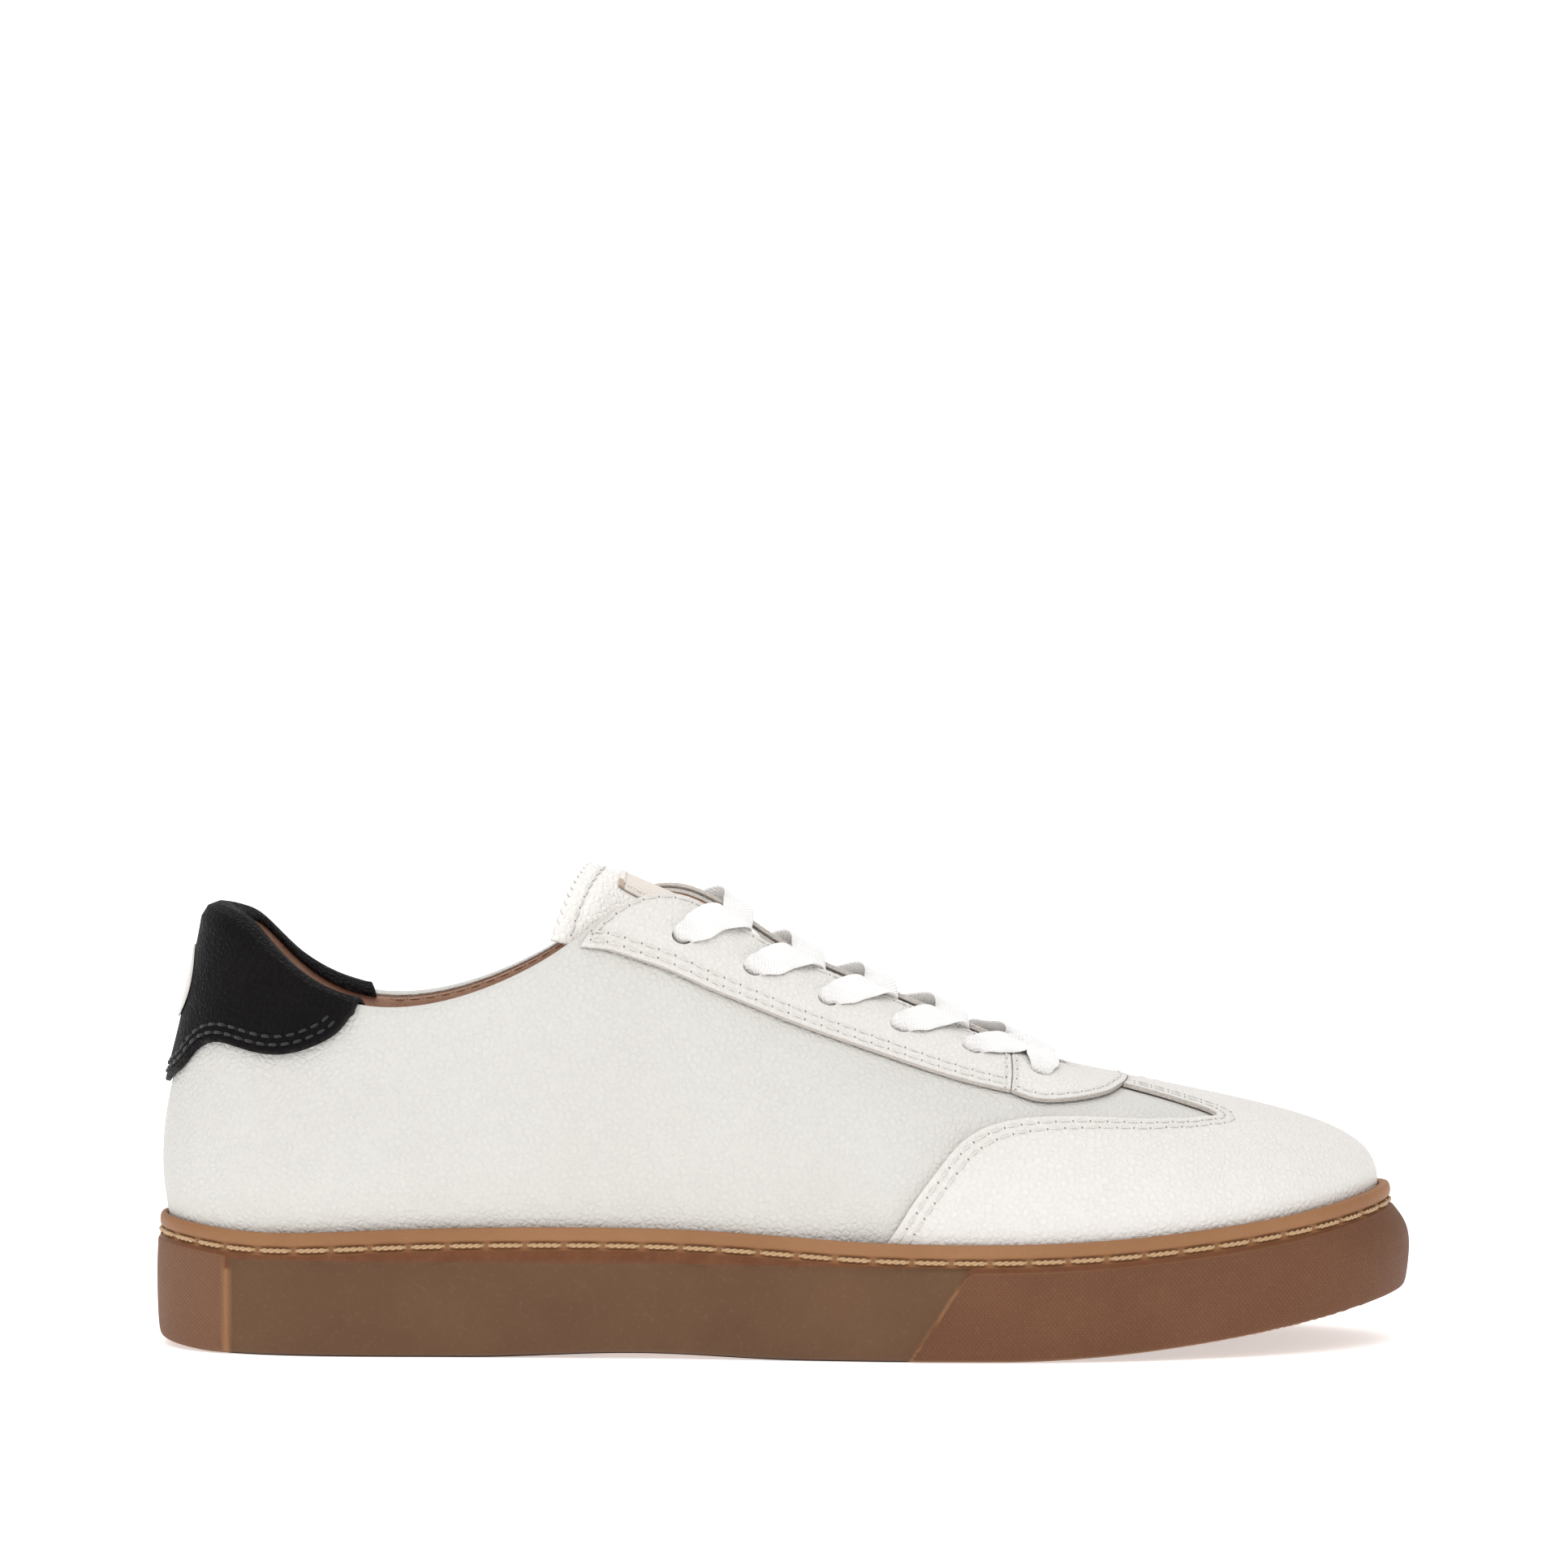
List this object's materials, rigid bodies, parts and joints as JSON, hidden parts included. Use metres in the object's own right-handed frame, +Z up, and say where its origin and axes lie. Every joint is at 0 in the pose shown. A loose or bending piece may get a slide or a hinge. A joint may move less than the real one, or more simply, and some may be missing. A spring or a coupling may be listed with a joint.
{
  "type": "court shoe",
  "caption": "Low right court shoe: stitched rubber cupsole, white leather upper with padded black heel tab, flat laces, padded tongue and a removable footbed.",
  "frame": {"origin": "centre of the shoe's bounding box in plan, at the ground under the sole", "axes": "+X from heel to toe, +Y to the medial (inner) side of this right shoe, +Z up"},
  "size_m": [0.2978, 0.1081, 0.1133],
  "materials": {
    "gum_rubber": "matte",
    "white_leather": "smooth with a fine grain",
    "black_leather": "pebbled",
    "tan_lining": "matte",
    "foam": "open cell",
    "board": "fibre board",
    "cotton": "flat woven",
    "waxed_thread": "waxed",
    "clear_plastic": "satin"
  },
  "bodies": {
    "shoe": {"cupsole": "gum_rubber", "foam_midsole": "foam", "lasting_board": "board", "sole_stitching": "waxed_thread", "quarter_lateral": "white_leather", "quarter_medial": "white_leather", "eyestay_lateral": "white_leather", "eyestay_medial": "white_leather", "throat_piece": "white_leather", "vamp": "white_leather", "toe_puff": "board", "heel_tab": "black_leather", "heel_counter": "board", "collar_foam": "foam", "quarter_lining": "tan_lining", "vamp_lining": "tan_lining", "heel_badge": "clear_plastic", "shoelace": "cotton", "aglet_lateral": "clear_plastic", "aglet_medial": "clear_plastic"},
    "tongue": {"tongue_face": "white_leather", "tongue_foam": "foam", "tongue_lining": "tan_lining", "tongue_label": "cotton"},
    "footbed": {"footbed": "tan_lining"}
  },
  "joints": [
    {"name": "tongue_hinge", "type": "hinge", "parent": "shoe", "child": "tongue", "pos_m": [0.0715, 0, 0.053], "axis": [0, 1, 0], "range_deg": [-8, 0], "stiffness_Nm_per_rad": 0.5, "springref_deg": 4.58},
    {"name": "footbed_lift", "type": "hinge", "parent": "shoe", "child": "footbed", "pos_m": [0.1335, 0, 0.0255], "axis": [0, 1, 0], "range_deg": [0, 5]}
  ]
}
